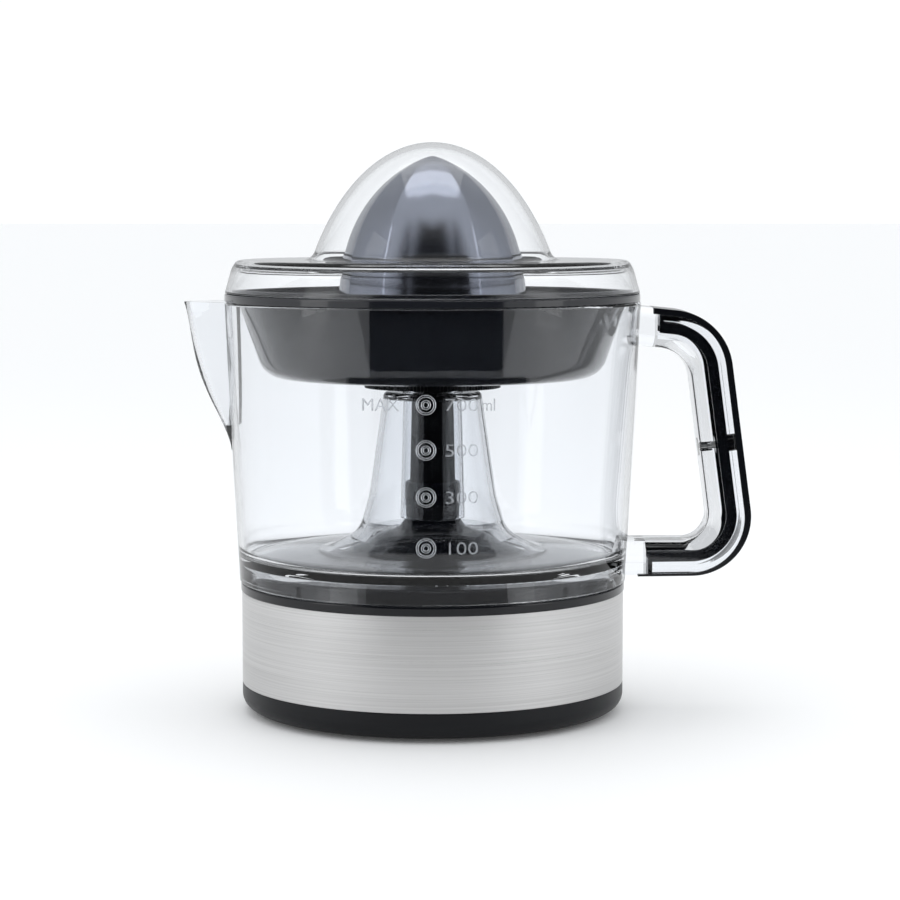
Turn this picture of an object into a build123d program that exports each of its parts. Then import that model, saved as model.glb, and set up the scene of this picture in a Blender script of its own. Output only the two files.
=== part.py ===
from build123d import *
import math
import os

# Electric citrus press: a motor base with a steel band, a clear jug with a hollow
# column, a strainer, a reamer driven through the column, and a clear dust cover.
# Millimetres. The origin is on the drive axis at the standing surface. +Z is up,
# +X runs to the handle, -X to the spout, -Y to the volume marks, +Y to the cord side.

os.makedirs("parts", exist_ok=True)

# ---- driving dimensions -------------------------------------------------------

BASE_R = 67.5  # outside of the steel band and of the tub under it
HOUSING_R = 66.9  # housing wall that the band is wrapped round
COVER_Z = 1.2  # underside of the bottom cover
BAND_LOW_Z = 10.5
BAND_TOP_Z = 43.0
SHOULDER_Z = 46.3  # black shoulder ring that the jug stands on
DECK_STEP_R = 63.2
DECK_STEP_Z = 51.5
TOWER_TOP_Z = 81.1
SPRING_SEAT_Z = 3.4  # inside floor of the bottom cover

SHAFT_R = 4.0
RUNNING_GAP = 0.05  # radial clearance of every running fit

JUG_FOOT_Z = 46.5
JUG_FOOT_R = 68.2
JUG_RIM_Z = 144.3
JUG_RIM_R = 73.2
JUG_WALL = 2.1
JUG_FLOOR_Z = 55.0
COLUMN_TOP_Z = 112.7
COLLAR_TOP_Z = 124.0

RING_LOW_Z = 144.4  # rim of the strainer
RING_TOP_Z = 147.4
RING_R = 72.9
STRAINER_FLOOR_Z = 118.0
STRAINER_SKIN = 2.0
DIAL_LOW_Z = 114.2
DIAL_TOP_Z = 117.2
DIAL_R = 24.0

LID_TOP_Z = 158.9
LID_SKIN = 1.8
DOME_TOP_Z = 199.9
DOME_SEMI_R = 49.1  # the dome is the upper part of an ellipse turned about the axis
DOME_SEMI_Z = 82.5

HANDLE_HALF_W = 10.5
PLATE_Z = 25.0  # gear plate between the motor and the gears
PLATE_T = 1.5

PRESSURE_ANGLE = math.radians(20)
TOOTH_THINNING = 0.14  # taken off each tooth at the pitch circle, so the gears run free
ADDENDUM = 0.9  # shortened, in modules
DEDENDUM = 1.2

ROTOR_AXIS = (13.0, -35.0)
OUTPUT_TEETH = 48
SECOND_PINION_TEETH = 14
WHEEL_TEETH = 40
PINION_TEETH = 12
OUTPUT_MODULE = 1.0
SECOND_MODULE = 0.8
FIRST_MODULE = 0.6


# ---- helpers that several pieces share ----------------------------------------


def turned(*outline, mode=Mode.ADD):
    """Adds or cuts a body turned about Z from (radius, height, corner radius) points."""
    with BuildSketch(Plane.XZ) as section:
        with BuildLine():
            corners = [(r, z) for r, z, _ in outline]
            FilletPolyline(*corners, radius=[c for _, _, c in outline], close=True)
        make_face()
    revolve(section.sketch, axis=Axis.Z, mode=mode)


def tube(outer_r, inner_r, low_z, high_z, centre=(0, 0)):
    """Adds an upright tube, or a rod where the inner radius is nought."""
    with BuildSketch(Plane.XY.offset(low_z)) as section:
        with Locations(centre):
            Circle(outer_r)
            if inner_r:
                Circle(inner_r, mode=Mode.SUBTRACT)
    extrude(section.sketch, amount=high_z - low_z)


def drill(radius, low_z, high_z, centre=(0, 0)):
    """Cuts an upright round hole."""
    with BuildSketch(Plane.XY.offset(low_z)) as section:
        with Locations(centre):
            Circle(radius)
    extrude(section.sketch, amount=high_z - low_z, mode=Mode.SUBTRACT)


def block(x0, x1, y0, y1, z0, z1, mode=Mode.ADD):
    """Adds or cuts a rectangular block between two corners."""
    with BuildSketch(Plane.XY.offset(z0)) as section:
        with Locations(((x0 + x1) / 2, (y0 + y1) / 2)):
            Rectangle(x1 - x0, y1 - y0)
    extrude(section.sketch, amount=z1 - z0, mode=mode)


def finish(part_builder, label):
    """Labels a finished piece and writes it."""
    part_builder.part.label = label
    export_step(part_builder.part, f"parts/{label}.step")


def polar(radius, degrees):
    """Point on a circle about the origin."""
    angle = math.radians(degrees)
    return (radius * math.cos(angle), radius * math.sin(angle))


# ---- gear geometry --------------------------------------------------------------


def involute(angle):
    return math.tan(angle) - angle


def gear_outline(teeth, module, phase):
    """Corner points of an involute spur gear with one tooth centred at phase."""
    pitch_r = teeth * module / 2
    base_r = pitch_r * math.cos(PRESSURE_ANGLE)
    tip_r = pitch_r + ADDENDUM * module
    root_r = pitch_r - DEDENDUM * module
    half_tooth = math.pi / (2 * teeth) - TOOTH_THINNING / (2 * pitch_r)
    flank_start = max(base_r, root_r)
    flank = []
    for share in (0, 0.3, 0.65, 1):
        r = flank_start + (tip_r - flank_start) * share
        roll = math.acos(min(1, base_r / r))
        flank.append((r, half_tooth + involute(PRESSURE_ANGLE) - involute(roll)))
    if root_r < base_r:
        flank.insert(0, (root_r, flank[0][1] + 0.01))
    points = []
    for tooth in range(teeth):
        centre = phase + 2 * math.pi * tooth / teeth
        for r, half in flank:
            points.append((r * math.cos(centre - half), r * math.sin(centre - half)))
        for r, half in reversed(flank):
            points.append((r * math.cos(centre + half), r * math.sin(centre + half)))
    return points


def gear(teeth, module, phase, low_z, high_z, centre=(0, 0)):
    """Adds a spur gear about an upright axis."""
    outline = gear_outline(teeth, module, phase)
    with BuildSketch(Plane.XY.offset(low_z)) as section:
        with Locations(centre):
            Polygon(*outline, align=None)
    extrude(section.sketch, amount=high_z - low_z)


def mesh_phase(teeth, phase, direction, mate_teeth):
    """Phase of the mating gear, seen along direction from the first gear."""
    share = (direction - phase) / (2 * math.pi / teeth)
    mate_pitch = 2 * math.pi / mate_teeth
    return direction + math.pi - mate_pitch * (0.5 - share)


def heading(start, end):
    return math.atan2(end[1] - start[1], end[0] - start[0])


# Each gear centre lies at its pair's centre distance from the last one.
STAGE_ONE = (PINION_TEETH + WHEEL_TEETH) * FIRST_MODULE / 2
STAGE_TWO = (PINION_TEETH + WHEEL_TEETH) * SECOND_MODULE / 2
STAGE_THREE = (SECOND_PINION_TEETH + OUTPUT_TEETH) * OUTPUT_MODULE / 2
SECOND_AXIS = polar(STAGE_THREE, -20)
span = math.dist(ROTOR_AXIS, SECOND_AXIS)
along = (STAGE_ONE**2 - STAGE_TWO**2 + span**2) / (2 * span)
across = math.sqrt(STAGE_ONE**2 - along**2)
lean = heading(ROTOR_AXIS, SECOND_AXIS)
FIRST_AXIS = (
    ROTOR_AXIS[0] + along * math.cos(lean) - across * math.sin(lean),
    ROTOR_AXIS[1] + along * math.sin(lean) + across * math.cos(lean),
)

SECOND_PINION_PHASE = mesh_phase(
    OUTPUT_TEETH, 0, heading((0, 0), SECOND_AXIS), SECOND_PINION_TEETH
)
FIRST_PINION_PHASE = mesh_phase(
    WHEEL_TEETH, 0, heading(SECOND_AXIS, FIRST_AXIS), PINION_TEETH
)
ROTOR_PINION_PHASE = mesh_phase(
    WHEEL_TEETH, 0, heading(FIRST_AXIS, ROTOR_AXIS), PINION_TEETH
)

# ---- base shells ------------------------------------------------------------------

PILLAR_R = 56.5  # circle of the four screws that hold the bottom cover
PILLARS = [polar(PILLAR_R, turn) for turn in (45, 135, 225, 315)]
PLATE_PILLARS = [(-27.0, 17.0), (42.5, 7.0), (-30.5, -44.5)]
GLAND_Z = 24.0
GLAND_SEAT = 9.0  # square seat, so the gland can't turn
GUIDE_R = 7.8  # bore of the tube that guides the thrust cup

with BuildPart() as upper_housing:
    turned(
        (HOUSING_R, BAND_LOW_Z + 0.1, 0),
        (HOUSING_R, BAND_TOP_Z, 0),
        (67.8, BAND_TOP_Z, 0.4),
        (67.8, SHOULDER_Z, 0.8),
        (DECK_STEP_R, SHOULDER_Z, 0),
        (DECK_STEP_R, DECK_STEP_Z, 1.2),
        (33.0, 55.2, 12),
        (13.0, 63.5, 6),
        (9.4, 68.0, 1),
        (9.4, 72.5, 0),
        (9.75, 72.5, 0),
        (9.75, TOWER_TOP_Z, 0.6),
        (8.6, TOWER_TOP_Z, 0.2),
        (8.6, 70.0, 0),
        (6.0, 70.0, 0),
        (6.0, 61.0, 0),
        (4.6, 61.0, 0),
        (4.6, 58.5, 0),
        (9.0, 58.5, 1),
        (31.0, 52.4, 8),
        (60.8, 49.0, 1),
        (60.8, 43.5, 1),
        (64.6, 42.0, 0.5),
        (64.6, BAND_LOW_Z + 0.1, 0),
    )
    # screw pillars for the bottom cover, tied to the wall by ribs
    with BuildSketch(Plane.XY.offset(BAND_LOW_Z + 0.5)):
        with Locations(*PILLARS):
            Circle(3.8)
        with PolarLocations((PILLAR_R + 65.4) / 2 + 1, 4, 45):
            Rectangle(9.4, 2.4)
    extrude(amount=34)
    # posts under the deck that carry the gear plate
    with BuildSketch(Plane.XY.offset(PLATE_Z + PLATE_T)):
        with Locations(*PLATE_PILLARS):
            Circle(3.4)
    extrude(until=Until.NEXT)
    for post in PLATE_PILLARS:
        drill(1.3, PLATE_Z + PLATE_T - 1, PLATE_Z + PLATE_T + 9, post)
    for post in PILLARS:
        drill(1.3, BAND_LOW_Z, BAND_LOW_Z + 13, post)
    # square seat for the cord gland through the rear wall
    gland_half = GLAND_SEAT / 2 + 0.1
    block(-gland_half, gland_half, 60, 68, GLAND_Z - gland_half, GLAND_Z + gland_half, Mode.SUBTRACT)
    # small upright ribs on the deck step that centre the jug
    with BuildSketch(Plane.XY.offset(SHOULDER_Z - 0.5)):
        with PolarLocations(DECK_STEP_R, 12, 15):
            Rectangle(2.0, 1.6)
    extrude(amount=DECK_STEP_Z - SHOULDER_Z - 0.7)
finish(upper_housing, "upper_housing")

with BuildPart() as bottom_cover:
    turned(
        (0, COVER_Z, 0),
        (62.2 + 5.3, COVER_Z, 5.3),
        (BASE_R, BAND_LOW_Z, 0.4),
        (64.4, BAND_LOW_Z, 0),
        (64.4, SPRING_SEAT_Z, 2),
        (0, SPRING_SEAT_Z, 0),
    )
    # groove for the foot ring
    with BuildSketch(Plane.XY.offset(COVER_Z)):
        Circle(52.1)
        Circle(43.9, mode=Mode.SUBTRACT)
    extrude(amount=1.0, mode=Mode.SUBTRACT)
    # guide tube for the thrust cup, with the spring post inside it
    tube(9.2, GUIDE_R, SPRING_SEAT_Z - 0.2, 14.4)
    tube(3.2, 0, SPRING_SEAT_Z - 0.2, 8.0)
    # pads under the switch and the terminal block
    block(-37, -19, -2.6, 2.6, SPRING_SEAT_Z - 0.2, 4.5)
    block(30, 46, 16, 26, SPRING_SEAT_Z - 0.2, 4.5)
    # screw sleeves, counterbored from below
    for post in PILLARS:
        tube(3.9, 0, SPRING_SEAT_Z - 0.2, BAND_LOW_Z + 0.3, post)
    for post in PILLARS:
        drill(1.7, 0, 12, post)
        drill(3.1, 0, 6.0, post)
    # two fields of cooling slots in the floor
    with BuildSketch(Plane.XY.offset(COVER_Z - 1)):
        for side in (-1, 1):
            with Locations((0, side * 33)):
                with GridLocations(5, 0, 7, 1):
                    SlotOverall(14, 2.2, rotation=90)
    extrude(amount=5, mode=Mode.SUBTRACT)
finish(bottom_cover, "bottom_cover")

with BuildPart() as steel_band:
    tube(BASE_R, HOUSING_R + 0.05, BAND_LOW_Z + 0.05, BAND_TOP_Z - 0.05)
    # butt seam and cord hole at the rear
    block(-0.15, 0.15, 60, 70, 0, 60, Mode.SUBTRACT)
    block(-gland_half, gland_half, 60, 70, GLAND_Z - gland_half, GLAND_Z + gland_half, Mode.SUBTRACT)
finish(steel_band, "steel_band")

with BuildPart() as foot_ring:
    turned((44, 0, 0.5), (52, 0, 0.5), (52, 2.15, 0), (44, 2.15, 0))
finish(foot_ring, "foot_ring")

with BuildPart() as base_screws:
    for post in PILLARS:
        tube(2.9, 0, 4.0, 5.95, post)
        tube(1.28, 0, 5.9, 20.0, post)
    with BuildSketch(Plane.XY.offset(4.0)):
        with Locations(*PILLARS):
            Rectangle(3.0, 0.7)
            Rectangle(0.7, 3.0)
    extrude(amount=1.2, mode=Mode.SUBTRACT)
finish(base_screws, "base_screws")

with BuildPart() as cord_gland:
    # square body through the wall, round flanges on both sides
    block(-GLAND_SEAT / 2, GLAND_SEAT / 2, 62.2, 69.2, GLAND_Z - GLAND_SEAT / 2, GLAND_Z + GLAND_SEAT / 2)
    with BuildSketch(Plane(origin=(0, 67.75, GLAND_Z), z_dir=(0, 1, 0))):
        Circle(7.0)
    extrude(amount=2.2)
    fillet(cord_gland.edges().filter_by(GeomType.CIRCLE).sort_by(Axis.Y)[-1], 0.9)
    with BuildSketch(Plane(origin=(0, 62.2, GLAND_Z), z_dir=(0, 1, 0))):
        Circle(6.6)
    extrude(amount=1.9)
    with BuildSketch(Plane(origin=(0, 60, GLAND_Z), z_dir=(0, 1, 0))):
        Circle(3.3)
    extrude(amount=12, mode=Mode.SUBTRACT)
finish(cord_gland, "cord_gland")

# ---- motor ------------------------------------------------------------------------

CORE_LOW_Z = 9.0
CORE_TOP_Z = 20.0
CORE_X = (-31.0, 28.5)
CORE_Y = (-50.0, -20.0)
LEG = 7.0  # width of the two legs that carry the coils
WINDOW_X = (-22.0, -3.0)
MOTOR_SCREWS = [
    (ROTOR_AXIS[0] + dx, ROTOR_AXIS[1] + dy) for dx in (-12.0, 12.0) for dy in (-12.0, 12.0)
]

with BuildPart() as motor_core:
    block(*CORE_X, *CORE_Y, CORE_LOW_Z, CORE_TOP_Z)
    block(*WINDOW_X, CORE_Y[0] + LEG, CORE_Y[1] - LEG, 0, 40, Mode.SUBTRACT)
    drill(10.6, 0, 40, ROTOR_AXIS)
    for spot in MOTOR_SCREWS:
        drill(1.6, 0, 40, spot)
finish(motor_core, "motor_core")

LEG_CENTRES = (CORE_Y[0] + LEG / 2, CORE_Y[1] - LEG / 2)
COIL_X = (WINDOW_X[0] + 0.4, WINDOW_X[1] - 0.4)

with BuildPart() as coil_bobbins:
    for leg_y in LEG_CENTRES:
        block(*COIL_X, leg_y - 4.4, leg_y + 4.4, CORE_LOW_Z - 0.9, CORE_TOP_Z + 0.9)
        for cheek in (COIL_X[0], COIL_X[1] - 1):
            block(cheek, cheek + 1, leg_y - 7.2, leg_y + 7.2, CORE_LOW_Z - 3.9, CORE_TOP_Z + 3.9)
    for leg_y in LEG_CENTRES:
        block(-40, 20, leg_y - 3.6, leg_y + 3.6, CORE_LOW_Z - 0.1, CORE_TOP_Z + 0.1, Mode.SUBTRACT)
finish(coil_bobbins, "coil_bobbins")

with BuildPart() as coil_windings:
    for leg_y in LEG_CENTRES:
        end_plane = Plane(origin=(COIL_X[0] + 1.05, leg_y, 14.5), x_dir=(0, 1, 0), z_dir=(1, 0, 0))
        with BuildSketch(end_plane):
            RectangleRounded(13.4, 18.2, 2.0)
            Rectangle(8.9, 12.9, mode=Mode.SUBTRACT)
        extrude(amount=COIL_X[1] - COIL_X[0] - 2.1)
finish(coil_windings, "coil_windings")

with BuildPart() as rotor_bracket:
    block(-1.5, 27.5, -50, -20, 5.2, 6.4)
    for spot in MOTOR_SCREWS:
        tube(3.0, 0, 6.3, CORE_LOW_Z, spot)
        drill(1.6, 0, 12, spot)
    tube(3.6, 0, 4.2, 5.3, ROTOR_AXIS)
    drill(1.2 + RUNNING_GAP, 0, 12, ROTOR_AXIS)
finish(rotor_bracket, "rotor_bracket")

with BuildPart() as motor_spacers:
    for spot in MOTOR_SCREWS:
        tube(3.0, 1.6, CORE_TOP_Z, PLATE_Z, spot)
finish(motor_spacers, "motor_spacers")

with BuildPart() as motor_screws:
    for spot in MOTOR_SCREWS:
        tube(2.6, 0, 3.7, 5.2, spot)
        tube(1.5, 0, 5.1, 27.6, spot)
finish(motor_screws, "motor_screws")

with BuildPart() as rotor_shaft:
    tube(1.2, 0, 4.3, 33.0, ROTOR_AXIS)
finish(rotor_shaft, "rotor_shaft")

with BuildPart() as rotor_magnet:
    tube(10.0, 1.2, 9.4, 19.6, ROTOR_AXIS)
    chamfer(rotor_magnet.edges().filter_by(GeomType.CIRCLE).group_by(SortBy.RADIUS)[-1], 0.5)
finish(rotor_magnet, "rotor_magnet")

with BuildPart() as rotor_pinion:
    gear(PINION_TEETH, FIRST_MODULE, ROTOR_PINION_PHASE, 27.2, 32.0, ROTOR_AXIS)
    drill(1.2, 20, 40, ROTOR_AXIS)
finish(rotor_pinion, "rotor_pinion")

# ---- gear train -----------------------------------------------------------------------

with BuildPart() as gear_plate:
    with BuildSketch(Plane.XY.offset(PLATE_Z)):
        with BuildLine():
            FilletPolyline(
                (-35, -46), (-30, -50), (27, -50), (45.5, -22), (47.5, 12), (8, 16), (-20, 24), (-33, 19),
                radius=4, close=True,
            )
        make_face()
    extrude(amount=PLATE_T)
    for spot in MOTOR_SCREWS:
        drill(1.55, 20, 30, spot)
    for spot in PLATE_PILLARS:
        drill(1.6, 20, 30, spot)
    for spot in (FIRST_AXIS, SECOND_AXIS):
        drill(1.5, 20, 30, spot)
    drill(6.0, 20, 30)
    drill(1.2 + RUNNING_GAP, 20, 30, ROTOR_AXIS)
finish(gear_plate, "gear_plate")

with BuildPart() as plate_screws:
    for post in PLATE_PILLARS:
        tube(2.8, 0, PLATE_Z - 1.8, PLATE_Z, post)
        tube(1.28, 0, PLATE_Z - 0.1, PLATE_Z + 9, post)
finish(plate_screws, "plate_screws")

with BuildPart() as plate_bush:
    turned(
        (SHAFT_R + RUNNING_GAP, 22.8, 0), (7.6, 22.8, 0.4), (7.6, PLATE_Z, 0),
        (5.98, PLATE_Z, 0), (5.98, 28.4, 0.3), (SHAFT_R + RUNNING_GAP, 28.4, 0),
    )
finish(plate_bush, "plate_bush")

with BuildPart() as tower_bush:
    tube(5.98, SHAFT_R + RUNNING_GAP, 61.0, 69.6)
finish(tower_bush, "tower_bush")

with BuildPart() as gear_axles:
    tube(1.5, 0, PLATE_Z - 0.6, 35.9, FIRST_AXIS)
    tube(1.5, 0, PLATE_Z - 0.6, 45.0, SECOND_AXIS)
finish(gear_axles, "gear_axles")

with BuildPart() as gear_one:
    gear(WHEEL_TEETH, FIRST_MODULE, 0, 28.0, 31.0, FIRST_AXIS)
    gear(PINION_TEETH, SECOND_MODULE, FIRST_PINION_PHASE, 30.9, 35.6, FIRST_AXIS)
    tube(3.0, 0, PLATE_Z + PLATE_T + 0.2, 28.1, FIRST_AXIS)
    drill(1.5 + RUNNING_GAP, 20, 40, FIRST_AXIS)
finish(gear_one, "gear_one")

with BuildPart() as gear_two:
    gear(WHEEL_TEETH, SECOND_MODULE, 0, 32.0, 35.0, SECOND_AXIS)
    gear(SECOND_PINION_TEETH, OUTPUT_MODULE, SECOND_PINION_PHASE, 34.9, 44.2, SECOND_AXIS)
    tube(3.6, 0, PLATE_Z + PLATE_T + 0.2, 32.1, SECOND_AXIS)
    drill(1.5 + RUNNING_GAP, 20, 50, SECOND_AXIS)
finish(gear_two, "gear_two")

with BuildPart() as output_gear:
    gear(OUTPUT_TEETH, OUTPUT_MODULE, 0, 38.6, 43.0)
    tube(7.5, 0, 36.0, 45.5)
    with BuildSketch(Plane.XY.offset(38)):
        with PolarLocations(14.2, 6):
            Circle(4.4)
    extrude(amount=6, mode=Mode.SUBTRACT)
    drill(SHAFT_R, 30, 50)
finish(output_gear, "output_gear")

# ---- output shaft, thrust cup and press switch --------------------------------------------

CUP_LOW_Z = 13.0
HEX_FLATS = 6.6
SHAFT_HEX_Z = 71.5
SHAFT_TOP_Z = 95.0

with BuildPart() as output_shaft:
    tube(SHAFT_R, 0, CUP_LOW_Z + 2.0, SHAFT_HEX_Z)
    with BuildSketch(Plane.XY.offset(SHAFT_HEX_Z)):
        RegularPolygon(HEX_FLATS / 2, 6, major_radius=False)
    extrude(amount=SHAFT_TOP_Z - SHAFT_HEX_Z)
    chamfer(output_shaft.faces().sort_by(Axis.Z)[-1].edges(), 0.6)
    # groove for the clip under the output gear
    with BuildSketch(Plane.XY.offset(34.6)):
        Circle(SHAFT_R + 1)
        Circle(SHAFT_R - 0.5, mode=Mode.SUBTRACT)
    extrude(amount=0.8, mode=Mode.SUBTRACT)
finish(output_shaft, "output_shaft")

with BuildPart() as shaft_clip:
    tube(6.0, SHAFT_R - 0.5, 34.65, 35.35)
    block(-1.8, 1.8, 0, 8, 34, 36, Mode.SUBTRACT)
finish(shaft_clip, "shaft_clip")

with BuildPart() as thrust_cup:
    turned(
        (0, CUP_LOW_Z, 0),
        (GUIDE_R - 0.3, CUP_LOW_Z, 0.5),
        (GUIDE_R - 0.3, 17.5, 0),
        (12.0, 17.5, 0.3),
        (12.0, 19.0, 0.5),
        (SHAFT_R + RUNNING_GAP, 19.0, 0.2),
        (SHAFT_R + RUNNING_GAP, CUP_LOW_Z + 2.0, 0),
        (0, CUP_LOW_Z + 2.0, 0),
    )
finish(thrust_cup, "thrust_cup")

SPRING_R = 5.4
SPRING_WIRE_R = 0.6
SPRING_COILS = 4.5
SPRING_LOW_Z = SPRING_SEAT_Z + SPRING_WIRE_R
SPRING_HEIGHT = CUP_LOW_Z - SPRING_SEAT_Z - 2 * SPRING_WIRE_R - 0.02

with BuildPart() as return_spring:
    with BuildLine():
        coil = Helix(
            pitch=SPRING_HEIGHT / SPRING_COILS,
            height=SPRING_HEIGHT,
            radius=SPRING_R,
            center=(0, 0, SPRING_LOW_Z),
        )
    with BuildSketch(Plane(origin=coil @ 0, z_dir=coil % 0)):
        Circle(SPRING_WIRE_R)
    sweep(is_frenet=True)
finish(return_spring, "return_spring")

LEVER_PIVOT = (-35.0, 16.6)  # X and Z of the switch lever's hinge
LEVER_TIP_X = -9.6
BUTTON_X = -28.0

with BuildPart() as switch_body:
    block(-37.5, -19.0, -3.2, 3.2, 4.5, 14.5)
    fillet(switch_body.edges().filter_by(Axis.Z), 0.5)
    for side in (-1, 1):
        block(LEVER_PIVOT[0] - 1.2, LEVER_PIVOT[0] + 1.2, side * 2.5 - 0.5, side * 2.5 + 0.5, 14.4, 17.4)
    with BuildSketch(Plane(origin=(LEVER_PIVOT[0], -5, LEVER_PIVOT[1]), z_dir=(0, 1, 0))):
        Circle(0.5)
    extrude(amount=10, mode=Mode.SUBTRACT)
    block(BUTTON_X - 1.3, BUTTON_X + 1.3, -1.1, 1.1, 12.5, 15, Mode.SUBTRACT)
    for spot in (-33.5, -23.0):
        with BuildSketch(Plane(origin=(spot, -5, 7.2), z_dir=(0, 1, 0))):
            Circle(1.1)
        extrude(amount=10, mode=Mode.SUBTRACT)
    # two blade terminals out of the far end
    for side in (-1, 1):
        block(-41.5, -37.4, side * 1.8 - 0.25, side * 1.8 + 0.25, 8.0, 11.0)
finish(switch_body, "switch_body")

with BuildPart() as switch_lever:
    block(LEVER_PIVOT[0] - 0.6, LEVER_TIP_X, -1.8, 1.8, 16.75, 17.15)
    with BuildSketch(Plane(origin=(LEVER_PIVOT[0], -3.1, LEVER_PIVOT[1]), z_dir=(0, 1, 0))):
        Circle(0.45)
    extrude(amount=6.2)
finish(switch_lever, "switch_lever")

with BuildPart() as switch_button:
    block(BUTTON_X - 1.25, BUTTON_X + 1.25, -1.05, 1.05, 13.3, 16.65)
    fillet(switch_button.faces().sort_by(Axis.Z)[-1].edges().filter_by(Axis.Y), 0.5)
finish(switch_button, "switch_button")

with BuildPart() as terminal_block:
    block(30.5, 45.5, 16.2, 25.8, 4.5, 13.0)
    with BuildSketch(Plane.XY.offset(9.5)):
        with Locations((34.5, 21), (41.5, 21)):
            Circle(1.9)
    extrude(amount=5, mode=Mode.SUBTRACT)
    for spot in (34.5, 41.5):
        with BuildSketch(Plane(origin=(spot, 10, 7.4), z_dir=(0, 1, 0))):
            Circle(1.5)
        extrude(amount=20, mode=Mode.SUBTRACT)
finish(terminal_block, "terminal_block")

LEAD_R = 1.0
LEAD_BEND = 4.0


def lead(*route):
    """Adds one insulated wire along a route of points."""
    with BuildLine() as run:
        FilletPolyline(*route, radius=LEAD_BEND)
    path = run.wire()
    with BuildSketch(Plane(origin=path @ 0, z_dir=path % 0)) as section:
        Circle(LEAD_R)
    sweep(section.sketch, path=path)


with BuildPart() as supply_leads:
    lead((-1.4, 61.6, 24), (-1.4, 50, 24), (-1.4, 40, 7.4), (41.5, 34, 7.4), (41.5, 25.9, 7.4))
    lead((1.4, 61.6, 24), (1.4, 46, 24), (1.4, 34, 7.4), (34.5, 31.5, 7.4), (34.5, 25.9, 7.4))
finish(supply_leads, "supply_leads")

with BuildPart() as motor_leads:
    lead(
        (34.5, 16.1, 7.4), (34.5, 9, 7.4), (22, 14, 7.4), (-30, 14, 9.5),
        (-46, 12, 9.5), (-50, 4, 9.5), (-46, 1.8, 9.5), (-41.6, 1.8, 9.5),
    )
    lead((41.5, 16.1, 7.4), (41.5, 4, 7.4), (33, -13, 7.4), (20, -16, 7.4), (4, -16, 7.4))
finish(motor_leads, "motor_leads")

# ---- drive stem -------------------------------------------------------------------------------

STEM_LOW_Z = 73.0
STEM_SHOULDER_Z = 127.0
STEM_TOP_Z = 146.0
SPLINE_R = 4.6

with BuildPart() as drive_stem:
    turned(
        (0, STEM_LOW_Z, 0),
        (8.15, STEM_LOW_Z, 0.4),
        (7.2, STEM_SHOULDER_Z - 12, 0),
        (7.2, STEM_SHOULDER_Z, 0.3),
        (SPLINE_R, STEM_SHOULDER_Z, 0),
        (SPLINE_R, STEM_TOP_Z, 0.8),
        (0, STEM_TOP_Z, 0),
    )
    with BuildSketch(Plane.XY.offset(STEM_SHOULDER_Z - 0.1)):
        with PolarLocations(SPLINE_R, 6):
            Rectangle(1.8, 1.6)
    extrude(amount=STEM_TOP_Z - STEM_SHOULDER_Z - 1)
    # hexagon socket over the output shaft
    with BuildSketch(Plane.XY.offset(STEM_LOW_Z)):
        RegularPolygon(HEX_FLATS / 2 + 0.15, 6, major_radius=False)
    extrude(amount=SHAFT_TOP_Z + 0.5 - STEM_LOW_Z, mode=Mode.SUBTRACT)
finish(drive_stem, "drive_stem")

# ---- jug -----------------------------------------------------------------------------------------


def jug_r(z):
    """Outside radius of the jug wall at a height."""
    return JUG_FOOT_R + (JUG_RIM_R - JUG_FOOT_R) * (z - JUG_FOOT_Z) / (JUG_RIM_Z - JUG_FOOT_Z)


# height, reach of the spout's tip beyond the wall, half-width where it leaves the wall
SPOUT_SECTIONS = (
    (92.0, 0.5, 2.0),
    (101.0, 3.0, 7.6),
    (111.0, 7.3, 10.6),
    (124.0, 11.2, 12.8),
    (JUG_RIM_Z, 14.2, 15.0),
)
SPOUT_SKIN = 1.9


def spout_section(z, reach, half_width, inset, depth):
    """Closed outline of the spout at one height: two walls that meet in a round tip."""
    wall_r = jug_r(z)
    tip_x = wall_r + reach - inset
    root_w = half_width - inset
    root_x = math.sqrt(wall_r**2 - root_w**2) - depth
    nose_r = min(4.5, 0.45 * half_width) - inset * 0.5
    nose_x = tip_x - nose_r
    # tangent from the root corner to the nose circle
    far = math.dist((root_x, root_w), (nose_x, 0))
    turn = math.acos(nose_r / far) if far > nose_r else 0.0
    aim = math.atan2(root_w, root_x - nose_x) - turn
    touch = (nose_x + nose_r * math.cos(aim), nose_r * math.sin(aim))
    with BuildSketch(Plane.XY.offset(z)) as section:
        with BuildLine():
            Line((-root_x, -root_w), (-touch[0], -touch[1]))
            ThreePointArc((-touch[0], -touch[1]), (-tip_x, 0), (-touch[0], touch[1]))
            Line((-touch[0], touch[1]), (-root_x, root_w))
            Line((-root_x, root_w), (-root_x, -root_w))
        make_face()
    return section.sketch


# Handle outlines in the XZ plane, from the upper root round to the lower root.
HANDLE_OUTER = ((72.0, 142.9), (102.35, 139.8), (114.6, 48.7), (67.2, 48.1))
HANDLE_OUTER_BENDS = (22.0, 20.8)
HANDLE_INNER = ((71.2, 129.2), (89.3, 127.3), (98.0, 60.6), (67.8, 60.6))
HANDLE_INNER_BENDS = (11.8, 8.7)
POCKET_TOP_X = 78.5
POCKET_END_X = 75.0
POCKET_OUTER = ((POCKET_TOP_X, 150.0), (120.0, 150.0), (120.0, 40.0), (POCKET_END_X, 40.0))
POCKET_INNER = ((POCKET_TOP_X, 131.7), (93.0, 130.2), (102.8, 57.2), (POCKET_END_X, 57.2))
POCKET_BENDS = (10.5, 10.0)
STRIP_CORNERS = ((100.3, 137.9), (112.1, 49.9))  # underside of the strip's cap
STRIP_BENDS = (19.8, 19.4)
STRIP_TOP_X = 76.9
STRIP_END_X = 72.0
STRIP_TOP_SLOPE = -0.103
STRIP_END_SLOPE = 0.025
RAIL_DEPTHS = (4.8, 8.5)  # the strip's rails, measured in from the outer face
RAIL_SIDES = (6.8, 7.7)
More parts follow.
